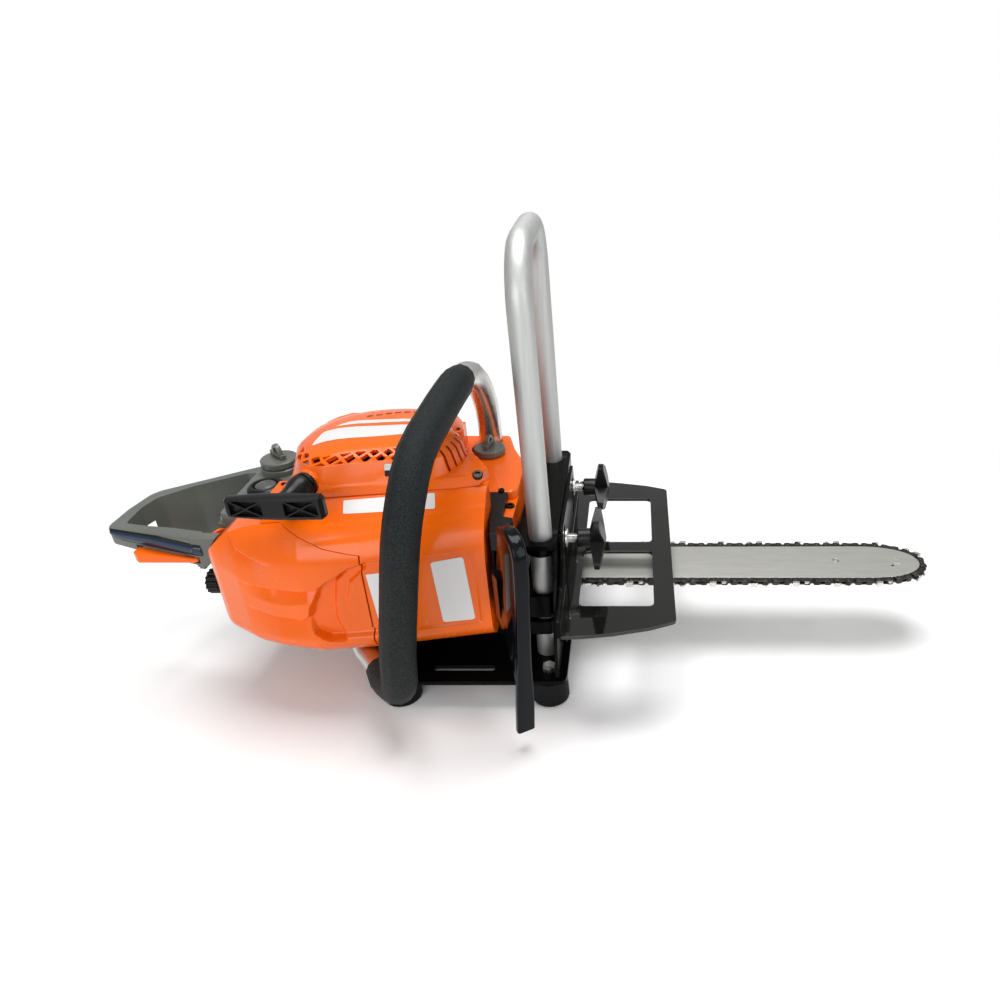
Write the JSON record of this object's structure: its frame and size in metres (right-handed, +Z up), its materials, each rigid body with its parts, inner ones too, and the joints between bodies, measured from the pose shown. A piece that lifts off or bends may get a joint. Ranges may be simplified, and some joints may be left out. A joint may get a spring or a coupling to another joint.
{
  "type": "chainsaw mill",
  "caption": "Petrol chainsaw clamped on its side in a small milling frame with rubber feet, a U-shaped push handle and a height-adjustable slotted guide plate.",
  "frame": {"origin": "middle of the bounding box in plan, on the floor under the rubber feet", "axes": "+X runs along the guide bar towards its nose, +Z is up; the saw lies on its side with its top towards -Y"},
  "size_m": [0.699, 0.298, 0.3764],
  "materials": {
    "back_plate": "satin powder coat",
    "bar_clamp_lower": "satin powder coat",
    "bar_clamp_upper": "satin powder coat",
    "bar_nut_front": "bright zinc",
    "bar_nut_rear": "bright zinc",
    "base_plate": "satin powder coat",
    "clamp_knob_far": "moulded, satin",
    "clamp_knob_near": "moulded, satin",
    "clutch_cover": "moulded, satin",
    "collar_far": "satin powder coat",
    "collar_near": "satin powder coat",
    "crankcase": "moulded, glossy",
    "drive_sprocket": "oiled",
    "fan_wheel": "as cast",
    "filter_cover": "moulded, glossy",
    "filter_knob": "moulded, satin",
    "foam_grip": "fine grained foam",
    "foot_bolt_far_front": "bright zinc",
    "foot_bolt_far_rear": "bright zinc",
    "foot_bolt_near_front": "bright zinc",
    "foot_bolt_near_rear": "bright zinc",
    "foot_far_front": "matt",
    "foot_far_rear": "matt",
    "foot_near_front": "matt",
    "foot_near_rear": "matt",
    "front_handle": "polished tube",
    "fuel_cap": "moulded, satin",
    "fuel_cap_loop": "moulded, satin",
    "guide_bar": "ground",
    "guide_bracket": "satin powder coat",
    "guide_plate": "satin powder coat",
    "hand_guard": "moulded, satin",
    "muffler_shield": "satin powder coat",
    "oil_cap": "moulded, satin",
    "oil_cap_loop": "moulded, satin",
    "primer_bulb": "smooth",
    "primer_ring": "moulded, satin",
    "push_handle": "brushed, anodised",
    "rear_handle": "moulded, satin",
    "rope_eyelet": "moulded, satin",
    "saw_chain": "oiled",
    "starter_cover": "moulded, glossy",
    "starter_grip": "moulded, satin",
    "starter_rope": "braided",
    "stud_far": "bright zinc",
    "stud_near": "bright zinc",
    "throttle_lockout": "moulded, glossy",
    "throttle_trigger": "moulded, glossy",
    "top_cover": "moulded, glossy",
    "top_flange": "satin powder coat",
    "upright_plate": "satin powder coat",
    "washer_far": "bright zinc",
    "washer_near": "bright zinc"
  },
  "bodies": {
    "mill_and_saw": {"back_plate": "back_plate", "bar_clamp_lower": "bar_clamp_lower", "bar_clamp_upper": "bar_clamp_upper", "bar_nut_front": "bar_nut_front", "bar_nut_rear": "bar_nut_rear", "base_plate": "base_plate", "clutch_cover": "clutch_cover", "collar_far": "collar_far", "collar_near": "collar_near", "crankcase": "crankcase", "filter_cover": "filter_cover", "foam_grip": "foam_grip", "foot_bolt_far_front": "foot_bolt_far_front", "foot_bolt_far_rear": "foot_bolt_far_rear", "foot_bolt_near_front": "foot_bolt_near_front", "foot_bolt_near_rear": "foot_bolt_near_rear", "foot_far_front": "foot_far_front", "foot_far_rear": "foot_far_rear", "foot_near_front": "foot_near_front", "foot_near_rear": "foot_near_rear", "front_handle": "front_handle", "guide_bar": "guide_bar", "muffler_shield": "muffler_shield", "primer_ring": "primer_ring", "push_handle": "push_handle", "rear_handle": "rear_handle", "rope_eyelet": "rope_eyelet", "saw_chain": "saw_chain", "starter_cover": "starter_cover", "starter_rope": "starter_rope", "stud_far": "stud_far", "stud_near": "stud_near", "top_cover": "top_cover", "top_flange": "top_flange", "upright_plate": "upright_plate", "washer_far": "washer_far", "washer_near": "washer_near"},
    "guide": {"guide_bracket": "guide_bracket", "guide_plate": "guide_plate"},
    "knob_near": {"clamp_knob_near": "clamp_knob_near"},
    "knob_far": {"clamp_knob_far": "clamp_knob_far"},
    "crankshaft": {"fan_wheel": "fan_wheel", "drive_sprocket": "drive_sprocket"},
    "brake_guard": {"hand_guard": "hand_guard"},
    "trigger": {"throttle_trigger": "throttle_trigger"},
    "lockout": {"throttle_lockout": "throttle_lockout"},
    "primer": {"primer_bulb": "primer_bulb"},
    "fuel_filler_cap": {"fuel_cap": "fuel_cap"},
    "fuel_cap_flap": {"fuel_cap_loop": "fuel_cap_loop"},
    "oil_filler_cap": {"oil_cap": "oil_cap"},
    "oil_cap_flap": {"oil_cap_loop": "oil_cap_loop"},
    "cover_knob": {"filter_knob": "filter_knob"},
    "pull_grip": {"starter_grip": "starter_grip"}
  },
  "joints": [
    {"name": "guide_slide", "type": "slide", "parent": "mill_and_saw", "child": "guide", "axis": [0, 0, 1], "range_m": [-0.008, 0.028]},
    {"name": "clamp_knob_near_turn", "type": "hinge", "parent": "mill_and_saw", "child": "knob_near", "pos_m": [0.04757, -0.02436, 0.128], "axis": [1, 0, 0], "continuous": true},
    {"name": "clamp_knob_far_turn", "type": "hinge", "parent": "mill_and_saw", "child": "knob_far", "pos_m": [0.04757, 0.06564, 0.128], "axis": [1, 0, 0], "continuous": true},
    {"name": "crankshaft_turn", "type": "hinge", "parent": "mill_and_saw", "child": "crankshaft", "pos_m": [-0.12593, 0.01165, 0.191], "axis": [0, 0, 1], "continuous": true},
    {"name": "hand_guard_turn", "type": "hinge", "parent": "mill_and_saw", "child": "brake_guard", "pos_m": [-0.02393, -0.06335, 0.118], "axis": [0, 0, 1], "range_deg": [0, 14]},
    {"name": "throttle_trigger_turn", "type": "hinge", "parent": "mill_and_saw", "child": "trigger", "pos_m": [-0.24843, -0.03115, 0.1375], "axis": [0, 0, 1], "range_deg": [0, 10], "stiffness_Nm_per_rad": 0.08, "springref_deg": -5.73},
    {"name": "throttle_lockout_turn", "type": "hinge", "parent": "mill_and_saw", "child": "lockout", "pos_m": [-0.27293, -0.05885, 0.129], "axis": [0, 0, -1], "range_deg": [0, 5], "stiffness_Nm_per_rad": 0.2, "springref_deg": -2.86},
    {"name": "primer_press", "type": "slide", "parent": "mill_and_saw", "child": "primer", "axis": [0, 0, -1], "range_m": [0, 0.0035], "stiffness_N_per_m": 400, "springref_m": -0.0005},
    {"name": "fuel_cap_turn", "type": "hinge", "parent": "mill_and_saw", "child": "fuel_filler_cap", "pos_m": [-0.23893, 0.04265, 0.164], "axis": [0, 0, 1], "continuous": true},
    {"name": "fuel_cap_flap_fold", "type": "hinge", "parent": "fuel_filler_cap", "child": "fuel_cap_flap", "pos_m": [-0.23893, 0.04265, 0.1734], "axis": [0.766, -0.6428, 0], "range_deg": [0, 88]},
    {"name": "oil_cap_turn", "type": "hinge", "parent": "mill_and_saw", "child": "oil_filler_cap", "pos_m": [-0.05193, 0.05165, 0.1703], "axis": [0, 0, 1], "continuous": true},
    {"name": "oil_cap_flap_fold", "type": "hinge", "parent": "oil_filler_cap", "child": "oil_cap_flap", "pos_m": [-0.05193, 0.05165, 0.1797], "axis": [0.1736, 0.9848, 0], "range_deg": [0, 88]},
    {"name": "filter_knob_turn", "type": "hinge", "parent": "mill_and_saw", "child": "cover_knob", "pos_m": [-0.26133, -0.05235, 0.104], "axis": [1, 0, 0], "continuous": true},
    {"name": "starter_pull", "type": "slide", "parent": "mill_and_saw", "child": "pull_grip", "axis": [-0.3161, -0.9483, -0.03], "range_m": [0, 0.6], "stiffness_N_per_m": 12, "springref_m": -0.4}
  ]
}
